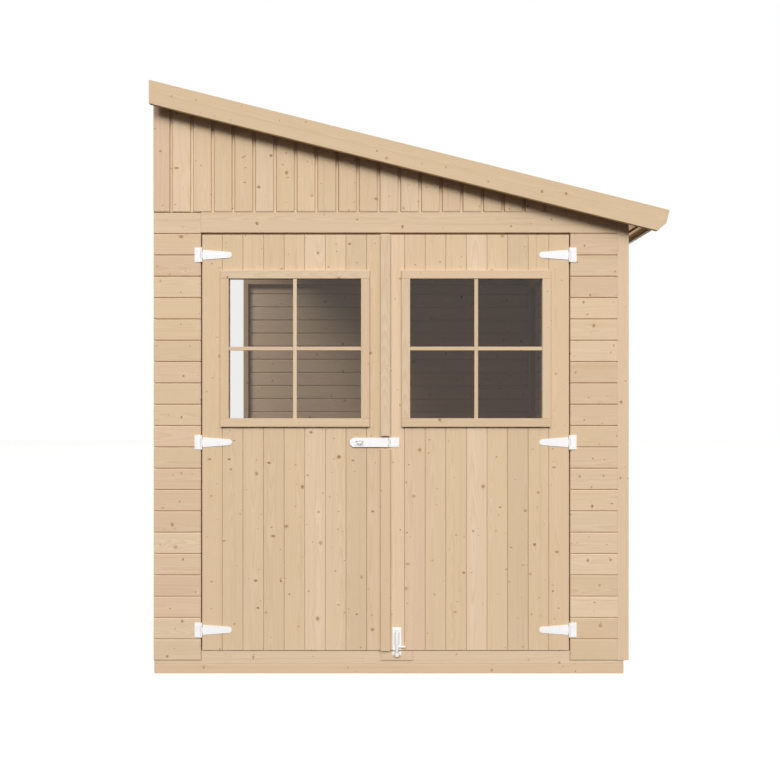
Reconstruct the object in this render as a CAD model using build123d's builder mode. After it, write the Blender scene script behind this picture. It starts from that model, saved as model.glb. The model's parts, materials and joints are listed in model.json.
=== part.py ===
import os
from math import cos, radians, sin, tan

from build123d import *

os.makedirs("parts", exist_ok=True)

# Driving dimensions in millimetres and degrees, for a lean-to shed that stands against a house wall.
# X runs from the tall open side to the low wall, Y from the doors to the back, and Z is up.

# Plan and height
wall_width = 1893.0
wall_depth = 1906.0
wall_top = 1842.0
roof_pitch = 14.05

# Timber sections
cladding = 19.0
gable_board = 22.0
frame_width = 30.0
frame_depth = 45.0
base_beam_height = 39.0
base_beam_width = 60.0
base_reveal = 6.0
joist_width = 45.0
joist_count = 3
floor_board = 16.0
cladding_bottom = 55.0
trim_width = 45.0
threshold_top = 91.0
back_rail_height = 30.0
side_plate_height = 75.0
side_post_spacing = 620.0

# Roof
gable_overhang = 62.0
eave_overhang = 120.5
barge_overrun = 19.5
barge_width = 90.0
barge_thickness = 18.0
barge_upstand = 8.0
barge_end_cut = 51.0
barge_end_chamfer = 26.0
roof_board = 16.0
felt = 3.0
felt_drip = 36.0
eave_lath = 6.0
rafter_width = 45.0
rafter_height = 60.0
rafter_spacing = 445.0
verge_batten_width = 20.0
verge_batten_height = 30.0
gable_rail_height = 45.0
high_beam_height = 95.0

# Doorway
side_strip = 188.0
header_bottom = 1759.0
jamb_gap = 6.0
meeting_gap = 5.0
head_gap = 8.0
foot_gap = 5.0
stop_width = 17.0
stop_depth = 20.0
stop_gap = 5.0
stop_end_gap = 1.0

# Door leaves
batten_height = 90.0
batten_depth = 22.0
batten_inset = 28.0
brace_width = 80.0
brace_gap = 2.0
window_hinge_margin = 107.5
window_meeting_margin = 95.0
window_foot_margin = 923.0
window_head_margin = 177.0
casing_width = 33.5
casing_proud = 12.0
glass_lap = 10.0
glass_thickness = 4.0
glass_play = 1.0
strip_width = 37.0
strip_lap = 15.5
strip_proud = 14.0
strip_relief = 5.0
strip_notch = 50.0

# T hinges
hinge_end_margin = 81.0
barrel_radius = 4.0
pin_radius = 2.0
pin_play = 0.08
plate_height = 57.0
plate_reach = 27.0
hinge_thickness = 2.5
knuckle_height = 23.0
knuckle_gap = 0.5
strap_reach = 121.0
strap_root = 39.0
strap_tip = 23.5
leaf_relief = 1.5

# Hasp and staple
hasp_below_casing = 61.5
hasp_leaf_width = 37.0
hasp_reach = 157.0
hasp_plate_reach = 39.0
hasp_axis_offset = 17.7
hasp_barrel_radius = 3.5
hasp_pin_radius = 1.5
hasp_seat = 0.5
hasp_relief = 1.0
hasp_standoff = 5.0
hasp_slot_length = 35.0
hasp_slot_width = 12.0
hasp_slot_centre = 119.0
staple_rod = 5.0
staple_span = 17.0
staple_height = 26.0
staple_plate_length = 44.0
staple_plate_height = 30.0
staple_plate_thickness = 2.0

# Barrel bolt
bolt_offset = 42.5
bolt_plate_width = 35.0
bolt_plate_height = 91.0
bolt_plate_thickness = 2.0
rod_radius = 5.0
rod_play = 0.4
rod_length = 88.0
rod_lift = 3.0
barrel_foot = 27.0
barrel_height = 49.0
barrel_web = 11.0
guide_wall = 2.2
knob_radius = 3.5
knob_reach = 33.0
knob_drop = 20.0
keep_width = 35.0
keep_height = 13.0
keep_drop = 2.0
keep_play = 1.2
keep_wall = 2.5
block_width = 127.0

# Places worked out from the dimensions above
roof_length = wall_width + eave_overhang + barge_overrun
left = -roof_length / 2
right = left + wall_width
eave = right + eave_overhang
eave_face = eave + eave_lath
frame_right = right - cladding
front = -wall_depth / 2
base_front = front + base_reveal
back = wall_depth / 2
frame_front = front + cladding
frame_back = back - cladding
inner_front = frame_front + frame_depth
inner_back = frame_back - frame_depth
verge = wall_depth / 2 + gable_overhang
verge_inner = verge - barge_thickness
header_right = right - trim_width
opening_left = left + side_strip
opening_right = header_right - side_strip
opening_width = opening_right - opening_left
back_middle = (left + frame_right) / 2

fall = tan(radians(roof_pitch))
deck_top = barge_upstand + felt
deck_bottom = deck_top + roof_board
high_top = wall_top + fall * wall_width + deck_bottom / cos(radians(roof_pitch))

door_bottom = threshold_top + foot_gap
door_top = header_bottom - head_gap
door_back = frame_front
leaf_width = (opening_width - 2 * jamb_gap - meeting_gap) / 2
leaf_start = jamb_gap / 2
leaf_end = leaf_start + leaf_width
hinge_y = front - barrel_radius
hinge_x = {"left": opening_left + jamb_gap / 2, "right": opening_right - jamb_gap / 2}
towards = {"left": 1, "right": -1}
window_start = leaf_start + window_hinge_margin
window_end = leaf_end - window_meeting_margin
window_width = window_end - window_start
window_bottom = door_bottom + window_foot_margin
window_top = door_top - window_head_margin
window_height = window_top - window_bottom
hasp_height = window_bottom - casing_width - hasp_below_casing
hinge_heights = (door_bottom + hinge_end_margin, hasp_height, door_top - hinge_end_margin)

meeting_left = hinge_x["left"] + leaf_end
meeting_right = hinge_x["right"] - leaf_end
hasp_x = meeting_left + hasp_axis_offset
hasp_y = front - hinge_thickness - hasp_barrel_radius + hasp_seat
slot_x = hasp_x - hasp_slot_centre
bolt_x = meeting_right + bolt_offset
rod_y = front - bolt_plate_thickness - rod_radius - rod_play - guide_wall
rod_bottom = threshold_top - keep_drop + rod_lift


def roof_z(x, depth=0.0):
    """Height of a plane that lies parallel to the top of the roof, at a depth square to it."""
    return high_top - fall * (x - left) - depth / cos(radians(roof_pitch))


def board(x0, x1, y0, y1, z0, z1):
    """A straight square-edged board between six faces."""
    with BuildSketch(Plane.XY.offset(z0)) as section:
        with Locations(((x0 + x1) / 2, (y0 + y1) / 2)):
            Rectangle(abs(x1 - x0), y1 - y0)
    extrude(section.sketch, amount=z1 - z0)


def disc(x, y, radius, z0, z1, mode=Mode.ADD):
    """An upright round bar, or with Mode.SUBTRACT the bore for one."""
    with BuildSketch(Plane.XY.offset(z0)) as section:
        with Locations((x, y)):
            Circle(radius)
    extrude(section.sketch, amount=z1 - z0, mode=mode)


def panel(points, y0, y1):
    """A flat piece whose outline is drawn from the front, from y0 back to y1."""
    with BuildSketch(Plane.XZ.offset(-y1)) as outline:
        with BuildLine():
            Polyline(*points, close=True)
        make_face()
    extrude(outline.sketch, amount=y1 - y0)


def under_roof(x0, x1, bottom):
    """Outline of a piece with a level foot and a top cut to the slope of the roof boards."""
    top_start = roof_z(x0, deck_bottom)
    top_end = roof_z(x1, deck_bottom)
    return [(x0, bottom), (x1, bottom), (x1, top_end), (x0, top_start)]


def slope_bar(x0, x1, upper, lower):
    """Outline of a bar that follows the roof between two depths, with plumb ends."""
    return [(x0, roof_z(x0, lower)), (x1, roof_z(x1, lower)), (x1, roof_z(x1, upper)), (x0, roof_z(x0, upper))]


# Base and floor
beam_inner = frame_back - base_beam_width
with BuildPart() as base_beams_front_back:
    board(left, frame_right, base_front, -beam_inner, 0, base_beam_height)
    board(left, frame_right, beam_inner, frame_back, 0, base_beam_height)

with BuildPart() as base_beams_sides:
    board(left, left + base_beam_width, -beam_inner, beam_inner, 0, base_beam_height)
    board(frame_right - base_beam_width, frame_right, -beam_inner, beam_inner, 0, base_beam_height)

with BuildPart() as floor_joists:
    with BuildSketch(Plane.XY):
        with Locations((back_middle, 0)):
            with GridLocations(0, 2 * beam_inner / (joist_count + 1), 1, joist_count):
                Rectangle(frame_right - left - 2 * base_beam_width, joist_width)
    extrude(amount=base_beam_height)

with BuildPart() as floor_boards:
    board(
        left, frame_right - frame_depth, inner_front, inner_back, base_beam_height, base_beam_height + floor_board
    )

# The threshold's nose runs under the cladding and fills the doorway between the side strips
with BuildPart() as threshold:
    board(left, frame_right, frame_front, inner_front, base_beam_height, threshold_top)
    board(left, frame_right, base_front, frame_front, base_beam_height, cladding_bottom)
    board(opening_left, opening_right, base_front, frame_front, cladding_bottom, threshold_top)

with BuildPart() as back_sill:
    board(left, frame_right, inner_back, frame_back, base_beam_height, threshold_top)

with BuildPart() as side_sill:
    board(frame_right - frame_depth, frame_right, inner_front, inner_back, base_beam_height, threshold_top)

# Walls: cladding, header and gables
with BuildPart() as front_cladding_left:
    board(left, opening_left, front, frame_front, cladding_bottom, wall_top)

with BuildPart() as front_cladding_right:
    board(opening_right, header_right, front, frame_front, cladding_bottom, header_bottom)

with BuildPart() as door_header:
    board(opening_left, header_right, front, frame_front, header_bottom, wall_top)

with BuildPart() as front_gable:
    panel(under_roof(left, header_right, wall_top), frame_front - gable_board, frame_front)

with BuildPart() as back_cladding:
    board(left, header_right, frame_back, back, cladding_bottom, wall_top)

with BuildPart() as back_gable:
    panel(under_roof(left, header_right, wall_top), frame_back, frame_back + gable_board)

with BuildPart() as side_cladding:
    panel(under_roof(frame_right, right, cladding_bottom), frame_front, frame_back)

with BuildPart() as corner_trims:
    panel(under_roof(header_right, right, cladding_bottom), front, frame_front)
    panel(under_roof(header_right, right, cladding_bottom), frame_back, back)

# Wall frame: every post stands on a sill, and the end posts reach up to the roof boards
side_plate_bottom = wall_top - side_plate_height + floor_board
back_rail_bottom = wall_top - back_rail_height
with BuildPart() as wall_posts:
    for x0 in (left, frame_right - frame_width):
        for y0 in (frame_front, inner_back):
            panel(under_roof(x0, x0 + frame_width, threshold_top), y0, y0 + frame_depth)
    for x0 in (opening_left - frame_width, opening_right):
        board(x0, x0 + frame_width, frame_front, inner_front, threshold_top, header_bottom)
    board(
        back_middle - frame_width / 2,
        back_middle + frame_width / 2,
        inner_back,
        frame_back,
        threshold_top,
        back_rail_bottom,
    )
    for y0 in (-side_post_spacing / 2, side_post_spacing / 2):
        board(
            frame_right - frame_depth,
            frame_right,
            y0 - frame_width / 2,
            y0 + frame_width / 2,
            threshold_top,
            side_plate_bottom,
        )

rail_left = left + frame_width
rail_right = frame_right - frame_width
with BuildPart() as front_lintel:
    board(rail_left, rail_right, frame_front, inner_front, header_bottom, wall_top)

with BuildPart() as back_top_rail:
    board(rail_left, rail_right, inner_back, frame_back, back_rail_bottom, wall_top)

with BuildPart() as side_top_plate:
    panel(under_roof(frame_right - frame_depth, frame_right, side_plate_bottom), inner_front, inner_back)

rail_lower = deck_bottom + gable_rail_height
rail_foot = left + (roof_z(left, rail_lower) - wall_top) / fall
gable_rail_outline = [
    (rail_left, roof_z(rail_left, rail_lower)),
    (rail_foot, wall_top),
    (rail_right, wall_top),
    (rail_right, roof_z(rail_right, deck_bottom)),
    (rail_left, roof_z(rail_left, deck_bottom)),
]
with BuildPart() as gable_rails:
    panel(gable_rail_outline, frame_front, inner_front)
    panel(gable_rail_outline, inner_back, frame_back)

# Door stops: a strip on each jamb and one under the lintel, behind the shut leaves
stop_front = door_back + stop_gap
stop_back = stop_front + stop_depth
with BuildPart() as door_stops:
    board(opening_left, opening_left + stop_width, stop_front, stop_back, threshold_top, header_bottom)
    board(opening_right - stop_width, opening_right, stop_front, stop_back, threshold_top, header_bottom)
    board(
        opening_left + stop_width + stop_end_gap,
        opening_right - stop_width - stop_end_gap,
        stop_front,
        stop_back,
        header_bottom - stop_width - head_gap,
        header_bottom,
    )

# Roof
with BuildPart() as high_side_beam:
    beam_right = left + frame_depth
    panel(under_roof(left, beam_right, roof_z(left, deck_bottom) - high_beam_height), inner_front, inner_back)

rafter_end = frame_right - frame_depth
rafter_outline = slope_bar(left + frame_depth, rafter_end, deck_bottom, deck_bottom + rafter_height)
verge_outline = slope_bar(left, eave, deck_bottom, deck_bottom + verge_batten_height)
with BuildPart() as rafters:
    for y0 in (-rafter_spacing, 0, rafter_spacing):
        panel(rafter_outline, y0 - rafter_width / 2, y0 + rafter_width / 2)
    panel(verge_outline, -verge_inner, -verge_inner + verge_batten_width)
    panel(verge_outline, verge_inner - verge_batten_width, verge_inner)

# A lath covers the ends of the roof boards at the eave, and the felt is turned down over it
drip_foot = roof_z(eave, deck_top) - felt_drip
lath_outline = [
    (eave, drip_foot),
    (eave_face, drip_foot),
    (eave_face, roof_z(eave_face, deck_top)),
    (eave, roof_z(eave, deck_top)),
]
with BuildPart() as roof_boards:
    panel(slope_bar(left, eave, deck_top, deck_bottom), -verge_inner, verge_inner)
    panel(lath_outline, -verge_inner, verge_inner)

felt_face = eave_face + felt
felt_outline = [
    (left, roof_z(left, barge_upstand)),
    (felt_face, roof_z(felt_face, barge_upstand)),
    (felt_face, drip_foot),
    (eave_face, drip_foot),
    (eave_face, roof_z(eave_face, deck_top)),
    (left, roof_z(left, deck_top)),
]
with BuildPart() as roof_felt:
    panel(felt_outline, -verge_inner, verge_inner)

# The barge board's low end is cut square to the slope, and its lower corner is taken off
down_x = -sin(radians(roof_pitch))
down_z = -cos(radians(roof_pitch))
barge_end = left + roof_length
barge_end_z = roof_z(barge_end)
barge_outline = [
    (left, high_top),
    (barge_end, barge_end_z),
    (barge_end + barge_end_cut * down_x, barge_end_z + barge_end_cut * down_z),
    (
        barge_end + barge_width * down_x + barge_end_chamfer * down_z,
        barge_end_z + barge_width * down_z - barge_end_chamfer * down_x,
    ),
    (left, roof_z(left, barge_width)),
]
with BuildPart() as barge_boards:
    panel(barge_outline, -verge, -verge_inner)
    panel(barge_outline, verge_inner, verge)


def leaf_x(side, distance):
    """X of a point on a door leaf, by its distance from the hinge pins towards the meeting edges."""
    return hinge_x[side] + towards[side] * distance


def leaf_board(side, start, end, y0, y1, z0, z1):
    """A board on a leaf, from one distance to another off the hinge pins."""
    board(leaf_x(side, start), leaf_x(side, end), y0, y1, z0, z1)


def window_ring(side, inner, outer, y0, y1):
    """A rectangular ring round the window, by how far its edges stand outside the window opening."""
    middle = (leaf_x(side, (window_start + window_end) / 2), (window_bottom + window_top) / 2)
    with BuildSketch(Plane.XZ.offset(-y1)) as ring:
        with Locations(middle):
            Rectangle(window_width + 2 * outer, window_height + 2 * outer)
            Rectangle(window_width + 2 * inner, window_height + 2 * inner, mode=Mode.SUBTRACT)
    extrude(ring.sketch, amount=y1 - y0)


def door_boards(side):
    """The boarded leaf, with its window opening cut through."""
    with BuildPart() as boards:
        leaf_board(side, leaf_start, leaf_end, front, door_back, door_bottom, door_top)
        middle = (leaf_x(side, (window_start + window_end) / 2), (window_bottom + window_top) / 2)
        with BuildSketch(Plane.XZ.offset(-door_back)) as hole:
            with Locations(middle):
                Rectangle(window_width + 2 * glass_lap, window_height + 2 * glass_lap)
        extrude(hole.sketch, amount=cladding, mode=Mode.SUBTRACT)
    return boards


def door_battens(side):
    """Three ledges across the back of a leaf, and a brace that rises from the hinge side."""
    start = leaf_start + batten_inset
    end = leaf_end - batten_inset
    y1 = door_back + batten_depth
    half = batten_height / 2
    low = hinge_heights[0] + half + brace_gap
    high = hinge_heights[1] - half - brace_gap
    with BuildPart() as battens:
        for z in hinge_heights:
            leaf_board(side, start, end, door_back, y1, z - half, z + half)
        brace = [
            (leaf_x(side, start), low),
            (leaf_x(side, start + brace_width), low),
            (leaf_x(side, end), high),
            (leaf_x(side, end - brace_width), high),
        ]
        panel(brace, door_back, y1)
    return battens


def window_frame(side):
    """The casing on the face of a leaf, and the bead that holds the pane from behind."""
    with BuildPart() as frame:
        window_ring(side, 0, casing_width, front - casing_proud, front)
        window_ring(side, 0, glass_lap, front + glass_thickness, door_back)
    return frame


def window_glass(side):
    """One pane behind the casing, a little smaller than its rebate."""
    middle = (leaf_x(side, (window_start + window_end) / 2), (window_bottom + window_top) / 2)
    lap = glass_lap - glass_play
    with BuildPart() as glass:
        with BuildSketch(Plane.XZ.offset(-front - glass_thickness)) as pane:
            with Locations(middle):
                Rectangle(window_width + 2 * lap, window_height + 2 * lap)
        extrude(pane.sketch, amount=glass_thickness)
    return glass


def hinge_strap(side, z):
    """The tapered strap of a T hinge, rolled round the pin at its root."""
    tip_radius = strap_tip / 2
    root_start = barrel_radius + leaf_relief
    outline = [
        (leaf_x(side, root_start), z - strap_root / 2),
        (leaf_x(side, strap_reach - tip_radius), z - tip_radius),
        (leaf_x(side, strap_reach - tip_radius), z + tip_radius),
        (leaf_x(side, root_start), z + strap_root / 2),
    ]
    panel(outline, front - hinge_thickness, front)
    with BuildSketch(Plane.XZ.offset(-front)) as tip:
        with Locations((leaf_x(side, strap_reach - tip_radius), z)):
            Circle(tip_radius)
    extrude(tip.sketch, amount=hinge_thickness)
    half = knuckle_height / 2
    leaf_board(side, 0, root_start, front - hinge_thickness, front, z - half, z + half)
    disc(hinge_x[side], hinge_y, barrel_radius, z - half, z + half)
    disc(hinge_x[side], hinge_y, pin_radius + pin_play, z - half, z + half, Mode.SUBTRACT)


def hinge_plate(side, z):
    """The wall plate of a T hinge with its two outer knuckles and the pin between them."""
    half = knuckle_height / 2 + knuckle_gap
    outer = plate_height / 2
    root = barrel_radius + leaf_relief
    leaf_board(side, -plate_reach, -root, front - hinge_thickness, front, z - outer, z + outer)
    for low, high in ((z - outer, z - half), (z + half, z + outer)):
        leaf_board(side, -root, 0, front - hinge_thickness, front, low, high)
        disc(hinge_x[side], hinge_y, barrel_radius, low, high)
    disc(hinge_x[side], hinge_y, pin_radius, z - outer, z + outer)


def door_straps(side):
    """The three straps of one leaf."""
    with BuildPart() as straps:
        for z in hinge_heights:
            hinge_strap(side, z)
    return straps


with BuildPart() as hinge_plates:
    for wall_side in ("left", "right"):
        for height in hinge_heights:
            hinge_plate(wall_side, height)

leaf_pieces = {}
for leaf in ("left", "right"):
    leaf_pieces[f"{leaf}_door_boards"] = door_boards(leaf)
    leaf_pieces[f"{leaf}_door_battens"] = door_battens(leaf)
    leaf_pieces[f"{leaf}_window_frame"] = window_frame(leaf)
    leaf_pieces[f"{leaf}_window_glass"] = window_glass(leaf)
    leaf_pieces[f"{leaf}_door_straps"] = door_straps(leaf)

# The meeting strip is fixed to the left leaf, laps the right one and is cut away at the hasp
strip_left = meeting_right + strip_lap - strip_width
strip_right = meeting_right + strip_lap
strip_outline = [
    (strip_left, front),
    (strip_left, front - strip_proud),
    (strip_right, front - strip_proud),
    (strip_right, front - strip_relief),
    (meeting_left, front - strip_relief),
    (meeting_left, front),
]
strip_spans = (
    (door_bottom, hasp_height - strip_notch / 2),
    (hasp_height + strip_notch / 2, door_top),
)
with BuildPart() as meeting_strip:
    for z0, z1 in strip_spans:
        with BuildSketch(Plane.XY.offset(z0)):
            with BuildLine():
                Polyline(*strip_outline, close=True)
            make_face()
        extrude(amount=z1 - z0)

# Hasp: plate with two knuckles and a pin on the right leaf, slotted leaf with the knuckle between
hasp_knuckle = hasp_leaf_width / 3
hasp_half = hasp_leaf_width / 2
hasp_root = hasp_barrel_radius + hasp_relief
with BuildPart() as hasp_plate:
    board(
        hasp_x + hasp_root,
        hasp_x + hasp_plate_reach,
        front - hinge_thickness,
        front,
        hasp_height - hasp_half,
        hasp_height + hasp_half,
    )
    for z0 in (hasp_height - hasp_half, hasp_height + hasp_half - hasp_knuckle + knuckle_gap):
        board(hasp_x, hasp_x + hasp_root, front - hinge_thickness, front, z0, z0 + hasp_knuckle - knuckle_gap)
        disc(hasp_x, hasp_y, hasp_barrel_radius, z0, z0 + hasp_knuckle - knuckle_gap)
    disc(hasp_x, hasp_y, hasp_pin_radius, hasp_height - hasp_half, hasp_height + hasp_half)

with BuildPart() as hasp_leaf:
    with BuildSketch(Plane.XZ.offset(-front + hasp_standoff)):
        with Locations((hasp_x - (hasp_root + hasp_reach - hasp_half) / 2, hasp_height)):
            Rectangle(hasp_reach - hasp_half - hasp_root, hasp_leaf_width)
        with Locations((hasp_x - hasp_reach + hasp_half, hasp_height)):
            Circle(hasp_half)
        with Locations((hasp_x - hasp_root / 2, hasp_height)):
            Rectangle(hasp_root, hasp_knuckle)
        with Locations((slot_x, hasp_height)):
            SlotOverall(hasp_slot_length, hasp_slot_width, mode=Mode.SUBTRACT)
    extrude(amount=hinge_thickness)
    leaf_low = hasp_height - hasp_knuckle / 2
    disc(hasp_x, hasp_y, hasp_barrel_radius, leaf_low, leaf_low + hasp_knuckle)
    disc(hasp_x, hasp_y, hasp_pin_radius + pin_play, leaf_low, leaf_low + hasp_knuckle, Mode.SUBTRACT)

# Staple: a round bar bent to a U on a small plate, which passes through the slot of the hasp
staple_plate_face = front - staple_plate_thickness
staple_bend = staple_span / 2
staple_shoulder = front - staple_height + staple_bend
with BuildPart() as hasp_staple:
    board(
        slot_x - staple_plate_length / 2,
        slot_x + staple_plate_length / 2,
        staple_plate_face,
        front,
        hasp_height - staple_plate_height / 2,
        hasp_height + staple_plate_height / 2,
    )
    with BuildLine(Plane.XY.offset(hasp_height)) as staple_path:
        Line((slot_x - staple_bend, staple_plate_face), (slot_x - staple_bend, staple_shoulder))
        ThreePointArc(
            (slot_x - staple_bend, staple_shoulder),
            (slot_x, staple_shoulder - staple_bend),
            (slot_x + staple_bend, staple_shoulder),
        )
        Line((slot_x + staple_bend, staple_shoulder), (slot_x + staple_bend, staple_plate_face))
    with BuildSketch(Plane((slot_x - staple_bend, staple_plate_face, hasp_height), z_dir=(0, -1, 0))):
        Circle(staple_rod / 2)
    sweep(path=staple_path.line)

# Barrel bolt: plate with a barrel on the right leaf, and the round rod that slides in it
guide_reach = 2 * (rod_radius + rod_play + guide_wall)
with BuildPart() as bolt_housing:
    board(
        bolt_x - bolt_plate_width / 2,
        bolt_x + bolt_plate_width / 2,
        front - bolt_plate_thickness,
        front,
        door_bottom,
        door_bottom + bolt_plate_height,
    )
    with BuildSketch(Plane.XY.offset(door_bottom + barrel_foot)):
        with Locations((bolt_x, front - bolt_plate_thickness - guide_reach / 4)):
            Rectangle(barrel_web, guide_reach / 2)
        with Locations((bolt_x, rod_y)):
            Circle(guide_reach / 2)
            Circle(rod_radius + rod_play, mode=Mode.SUBTRACT)
    extrude(amount=barrel_height)

with BuildPart() as bolt_rod:
    disc(bolt_x, rod_y, rod_radius, rod_bottom, rod_bottom + rod_length)
    with BuildSketch(Plane.YZ.offset(bolt_x)):
        with Locations((rod_y, rod_bottom + knob_drop)):
            Circle(knob_radius)
    extrude(amount=knob_reach)

# Wooden block on the threshold, with the keep that the bolt drops into
block_left = bolt_x - block_width / 2
with BuildPart() as bolt_block:
    board(block_left, block_left + block_width, front, base_front, cladding_bottom, threshold_top)

keep_top = threshold_top - keep_drop
with BuildPart() as bolt_keep:
    board(
        bolt_x - keep_width / 2,
        bolt_x + keep_width / 2,
        front - bolt_plate_thickness,
        front,
        keep_top - keep_height,
        keep_top,
    )
    with BuildSketch(Plane.XY.offset(keep_top - keep_height)):
        with Locations((bolt_x, (rod_y + front) / 2)):
            Rectangle(2 * (rod_radius + keep_play + keep_wall), front - rod_y)
        with Locations((bolt_x, rod_y)):
            Circle(rod_radius + keep_play + keep_wall)
    extrude(amount=keep_height)
    disc(bolt_x, rod_y, rod_radius + keep_play, keep_top - keep_height, keep_top, Mode.SUBTRACT)

pieces = {
    "base_beams_front_back": base_beams_front_back,
    "base_beams_sides": base_beams_sides,
    "floor_joists": floor_joists,
    "floor_boards": floor_boards,
    "threshold": threshold,
    "back_sill": back_sill,
    "side_sill": side_sill,
    "front_cladding_left": front_cladding_left,
    "front_cladding_right": front_cladding_right,
    "door_header": door_header,
    "front_gable": front_gable,
    "back_cladding": back_cladding,
    "back_gable": back_gable,
    "side_cladding": side_cladding,
    "corner_trims": corner_trims,
    "wall_posts": wall_posts,
    "front_lintel": front_lintel,
    "back_top_rail": back_top_rail,
    "side_top_plate": side_top_plate,
    "gable_rails": gable_rails,
    "door_stops": door_stops,
    "high_side_beam": high_side_beam,
    "rafters": rafters,
    "roof_boards": roof_boards,
    "roof_felt": roof_felt,
    "barge_boards": barge_boards,
    "hinge_plates": hinge_plates,
    "bolt_block": bolt_block,
    "bolt_keep": bolt_keep,
    "meeting_strip": meeting_strip,
    "hasp_staple": hasp_staple,
    "hasp_plate": hasp_plate,
    "hasp_leaf": hasp_leaf,
    "bolt_housing": bolt_housing,
    "bolt_rod": bolt_rod,
}
pieces.update(leaf_pieces)

for name, piece in pieces.items():
    piece.part.label = name
    export_step(piece.part, f"parts/{name}.step")
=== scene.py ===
"""A lean-to garden shed of tongued softwood boards, dressed around its packed construction.

Every piece takes its place from the construction's own nodes, in metres, with the doors at -Y and Z up.
"""

import json
import math
import random

import bmesh
import bpy
from mathutils import Matrix, Vector


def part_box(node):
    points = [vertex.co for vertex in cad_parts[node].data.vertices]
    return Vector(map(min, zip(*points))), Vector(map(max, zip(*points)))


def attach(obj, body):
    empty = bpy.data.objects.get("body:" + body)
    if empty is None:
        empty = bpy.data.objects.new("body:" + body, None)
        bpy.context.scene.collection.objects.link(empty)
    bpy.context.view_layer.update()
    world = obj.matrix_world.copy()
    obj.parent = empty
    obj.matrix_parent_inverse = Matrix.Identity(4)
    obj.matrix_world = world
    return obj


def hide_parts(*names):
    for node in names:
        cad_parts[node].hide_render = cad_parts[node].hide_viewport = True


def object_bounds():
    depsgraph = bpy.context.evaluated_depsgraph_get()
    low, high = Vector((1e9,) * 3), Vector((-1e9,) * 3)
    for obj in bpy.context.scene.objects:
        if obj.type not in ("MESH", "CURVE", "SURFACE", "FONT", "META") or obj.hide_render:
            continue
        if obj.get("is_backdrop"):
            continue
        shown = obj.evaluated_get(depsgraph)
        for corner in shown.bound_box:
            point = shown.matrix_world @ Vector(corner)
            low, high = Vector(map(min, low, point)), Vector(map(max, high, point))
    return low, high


bl_info = {
    "name": "Lean-to Garden Shed",
    "version": (1, 0, 0),
    "blender": (4, 5, 0),
    "location": "View3D > Sidebar > Shed",
    "description": "Dresses a boarded lean-to shed with its boards, windows, fittings and finishes",
    "category": "Object",
}

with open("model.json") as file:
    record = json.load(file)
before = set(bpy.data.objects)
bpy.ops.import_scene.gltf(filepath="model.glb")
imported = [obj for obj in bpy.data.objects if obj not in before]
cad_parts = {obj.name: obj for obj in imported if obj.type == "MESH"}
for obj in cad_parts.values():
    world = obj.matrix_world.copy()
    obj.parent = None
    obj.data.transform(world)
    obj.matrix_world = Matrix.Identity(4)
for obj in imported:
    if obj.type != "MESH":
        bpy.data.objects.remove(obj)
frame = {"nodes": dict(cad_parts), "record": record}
CAD_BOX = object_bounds()
NODES = frame["nodes"]

MM = 0.001
SAME = 0.01 * MM  # points closer than this are one
NEAR = 0.1 * MM  # how far off a plane a point still counts as on it
TIGHT_GAP = 0.8 * MM  # between the boards of the floor and of the doors
FACING = 0.99  # least part of a face's normal along the way that the face is picked by
X, Y, Z = Vector((1, 0, 0)), Vector((0, 1, 0)), Vector((0, 0, 1))
LEAVES = ("left", "right")

GRAIN_ROW = 0.2  # what one board has of a grain map's height
GRAIN_ROWS = 400
ROW_MARGIN = 0.01  # what is left free at the foot of a row
GRAIN_SHIFT = 12.0  # the most that the grain is shifted along a board
JOINT_STRIP = 0.05  # the part of a row that the faces in a joint share
MOST_BOARDS = 64


# Settings that the user can change


def a_length(name, description, default):
    """A length."""
    return bpy.props.FloatProperty(name=name, description=description, default=default, unit="LENGTH")


def a_number(name, description, default):
    """A power or a strength."""
    return bpy.props.FloatProperty(name=name, description=description, default=default)


def an_angle(name, description, default):
    """An angle."""
    return bpy.props.FloatProperty(name=name, description=description, default=default, subtype="ANGLE")


def a_colour(name, description, *default):
    """A colour."""
    return bpy.props.FloatVectorProperty(
        name=name, description=description, subtype="COLOR", size=3, default=default
    )


class ShedBoards(bpy.types.PropertyGroup):
    """Sizes of the boards that cover the shed."""

    wall_cover: a_length("Wall board", "Height that one wall board covers", 0.085)
    gable_cover: a_length("Gable board", "Width that one gable board covers", 0.0826)
    gable_first: a_length("First gable board", "Width left of the first gable board", 0.077)
    door_cover: a_length("Door board", "Width that one door board covers", 0.0821)
    door_first: a_length("First door board", "Width of the board on the hinge side", 0.080)
    floor_cover: a_length("Floor board", "Width that one floor board covers", 0.095)
    roof_cover: a_length("Roof board", "Width that one roof board covers down the slope", 0.085)
    roof_lip: a_length("Roof lip", "Width of the sunk lip under each roof joint", 0.012)
    roof_step: a_length("Roof step", "How far the lip under a roof joint is sunk", 0.010)
    eave_board: a_length("Last roof board", "Width left of the roof board at the eave", 0.025)
    felt_strip: a_length("Felt strip", "Width that one strip of felt covers", 0.90)
    felt_lap: a_length("Felt lap", "How far a strip laps the next one", 0.09)
    felt_tuck: a_length("Felt tuck", "How far the felt is turned under the eave lath", 0.012)
    nail_spacing: a_length("Nail spacing", "Between the nails in the felt", 0.12)
    nail_head: a_length("Nail head", "Radius of a clout nail's head", 0.0065)
    screw_head: a_length("Screw head", "Radius of a hinge screw's head", 0.004)
    wall_vee: a_length("Wall joint", "Chamfer on each side of a wall joint", 0.0027)
    door_vee: a_length("Door joint", "Chamfer on each side of a door joint", 0.0016)
    joint_gap: a_length("Joint gap", "Open gap at the bottom of a joint", 0.0015)
    gable_lip: a_length("Gable lip", "Width of the sunk lip beside each gable joint", 0.0105)
    gable_step: a_length("Gable step", "How far the lip beside a gable joint is sunk", 0.0075)
    edge: a_length("Eased edge", "Rounding on the edges of planed timber", 0.0015)
    bar_width: a_length("Window bar", "Face width of a window bar", 0.015)
    bar_depth: a_length("Bar depth", "How deep a window bar is", 0.009)


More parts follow.
